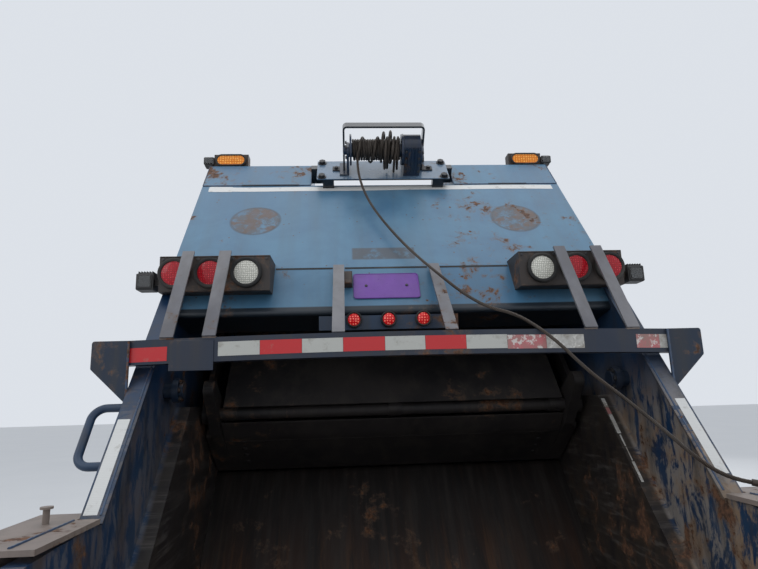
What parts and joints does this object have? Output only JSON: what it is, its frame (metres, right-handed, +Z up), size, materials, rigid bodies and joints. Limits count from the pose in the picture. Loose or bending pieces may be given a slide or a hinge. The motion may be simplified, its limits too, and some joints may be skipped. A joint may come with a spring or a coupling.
{
  "type": "rear-loading garbage truck",
  "caption": "Rear-loading garbage truck with a bonneted cab, ribbed body, sloping tailgate with hopper, packer, guard bars, lamps and top winch.",
  "frame": {"origin": "on the ground under the middle of the whole truck", "axes": "+Y forward, +X the truck's right-hand side, +Z up"},
  "size_m": [2.558, 8.05, 3.1472],
  "materials": {
    "blue_paint": "worn deep blue enamel",
    "hopper_steel": "dark rust and worn paint",
    "grey_steel": "grey steel with rust",
    "lamp_box": "rusty dark brown",
    "red_lens": "red lens",
    "clear_lens": "clear lens",
    "amber_lens": "amber lens",
    "winch_metal": "oily blue enamel",
    "wire_rope": "greasy wire rope",
    "chassis_black": "chassis black",
    "cab_white": "white enamel",
    "black_plastic": "moulded black",
    "glass": "tinted glass",
    "seat_vinyl": "grey vinyl",
    "chrome": "polished",
    "tyre": "black rubber",
    "rim_white": "white enamel, dusty",
    "rubber": "black rubber",
    "tank_alloy": "brushed alloy"
  },
  "bodies": {
    "chassis": {"body_sides": "blue_paint", "body_roof": "blue_paint", "body_bulkhead": "blue_paint", "body_floor": "hopper_steel", "frame_rails": "chassis_black", "front_axle": "chassis_black", "rear_axle": "chassis_black", "power_unit": "chassis_black", "bumper": "chassis_black", "fuel_tank": "tank_alloy", "battery_box": "chassis_black", "mud_flaps": "rubber", "exhaust_stack": "chrome", "cab_shell": "cab_white", "cab_glass": "glass", "cab_inside": "seat_vinyl", "mirrors": "black_plastic", "seats": "seat_vinyl"},
    "tailgate": {"tail_sides": "blue_paint", "tail_top": "blue_paint", "hopper_floor": "hopper_steel", "tail_beam": "grey_steel", "beam_wings": "blue_paint", "guard_bars": "grey_steel", "tail_fittings": "blue_paint", "lamp_housings": "lamp_box", "red_lamps": "red_lens", "clear_lamps": "clear_lens", "amber_lamps": "amber_lens", "winch_base": "winch_metal", "winch": "winch_metal", "rope_coil": "wire_rope", "rope_run": "wire_rope", "rope_hook": "wire_rope", "container_ears": "grey_steel", "grab_handles": "blue_paint"},
    "packer_slide": {"packer_slide": "hopper_steel"},
    "packer_blade": {"packer_blade": "hopper_steel"},
    "lift_barrels": {"lift_barrels": "blue_paint"},
    "lift_rods": {"lift_rods": "chrome"},
    "ejector": {"ejector_panel": "hopper_steel"},
    "hood": {"hood": "cab_white", "grille": "black_plastic", "headlamps": "clear_lens"},
    "door_right": {"door_right": "cab_white", "door_glass_right": "glass"},
    "knuckle_right": {"knuckle_right": "chassis_black"},
    "front_wheel_right": {"front_tyre_right": "tyre", "front_rim_right": "rim_white"},
    "rear_wheels_right": {"rear_tyres_right": "tyre", "rear_rims_right": "rim_white"},
    "door_left": {"door_left": "cab_white", "door_glass_left": "glass"},
    "knuckle_left": {"knuckle_left": "chassis_black"},
    "front_wheel_left": {"front_tyre_left": "tyre", "front_rim_left": "rim_white"},
    "rear_wheels_left": {"rear_tyres_left": "tyre", "rear_rims_left": "rim_white"}
  },
  "joints": [
    {"name": "tailgate_hinge", "type": "hinge", "parent": "chassis", "child": "tailgate", "pos_m": [0, -1.79, 3.03], "axis": [-1, 0, 0], "range_deg": [0, 75]},
    {"name": "lift_barrel_hinge", "type": "hinge", "parent": "chassis", "child": "lift_barrels", "pos_m": [0, -0.9, 1.5], "axis": [-1, 0, 0], "range_deg": [-0.5, 9.83]},
    {"name": "lift_rod_slide", "type": "slide", "parent": "lift_barrels", "child": "lift_rods", "axis": [0, -0.7976, 0.6032], "range_m": [-0.001, 0.7977]},
    {"name": "packer_slide", "type": "slide", "parent": "tailgate", "child": "packer_slide", "axis": [0, -0.6334, -0.7738], "range_m": [0, 0.65]},
    {"name": "sweep_hinge", "type": "hinge", "parent": "packer_slide", "child": "packer_blade", "pos_m": [0, -2.715, 1.66], "axis": [-1, 0, 0], "range_deg": [0, 105]},
    {"name": "ejector_slide", "type": "slide", "parent": "chassis", "child": "ejector", "axis": [0, -1, 0], "range_m": [0, 2.35]},
    {"name": "hood_tilt", "type": "hinge", "parent": "chassis", "child": "hood", "pos_m": [0, 3.905, 0.8], "axis": [-1, 0, 0], "range_deg": [0, 50]},
    {"name": "door_hinge_right", "type": "hinge", "parent": "chassis", "child": "door_right", "pos_m": [1, 2.5, 1.5], "axis": [0, 0, 1], "range_deg": [0, 65]},
    {"name": "steer_right", "type": "hinge", "parent": "chassis", "child": "knuckle_right", "pos_m": [0.88, 3, 0.525], "axis": [0, 0, 1], "range_deg": [-32, 32]},
    {"name": "front_wheel_spin_right", "type": "hinge", "parent": "knuckle_right", "child": "front_wheel_right", "pos_m": [1.02, 3, 0.525], "axis": [1, 0, 0], "continuous": true},
    {"name": "rear_wheel_spin_right", "type": "hinge", "parent": "chassis", "child": "rear_wheels_right", "pos_m": [0.915, -1.175, 0.525], "axis": [1, 0, 0], "continuous": true},
    {"name": "door_hinge_left", "type": "hinge", "parent": "chassis", "child": "door_left", "pos_m": [-1, 2.5, 1.5], "axis": [0, 0, -1], "range_deg": [0, 65]},
    {"name": "steer_left", "type": "hinge", "parent": "chassis", "child": "knuckle_left", "pos_m": [-0.88, 3, 0.525], "axis": [0, 0, 1], "range_deg": [-32, 32]},
    {"name": "front_wheel_spin_left", "type": "hinge", "parent": "knuckle_left", "child": "front_wheel_left", "pos_m": [-1.02, 3, 0.525], "axis": [1, 0, 0], "continuous": true},
    {"name": "rear_wheel_spin_left", "type": "hinge", "parent": "chassis", "child": "rear_wheels_left", "pos_m": [-0.915, -1.175, 0.525], "axis": [1, 0, 0], "continuous": true}
  ],
  "couplings": [
    {"joint": "lift_barrel_hinge", "follows": "tailgate_hinge", "ratio": 0.12436},
    {"joint": "lift_rod_slide", "follows": "tailgate_hinge", "m_per_rad": 0.60711},
    {"joint": "steer_left", "follows": "steer_right", "ratio": 1}
  ]
}
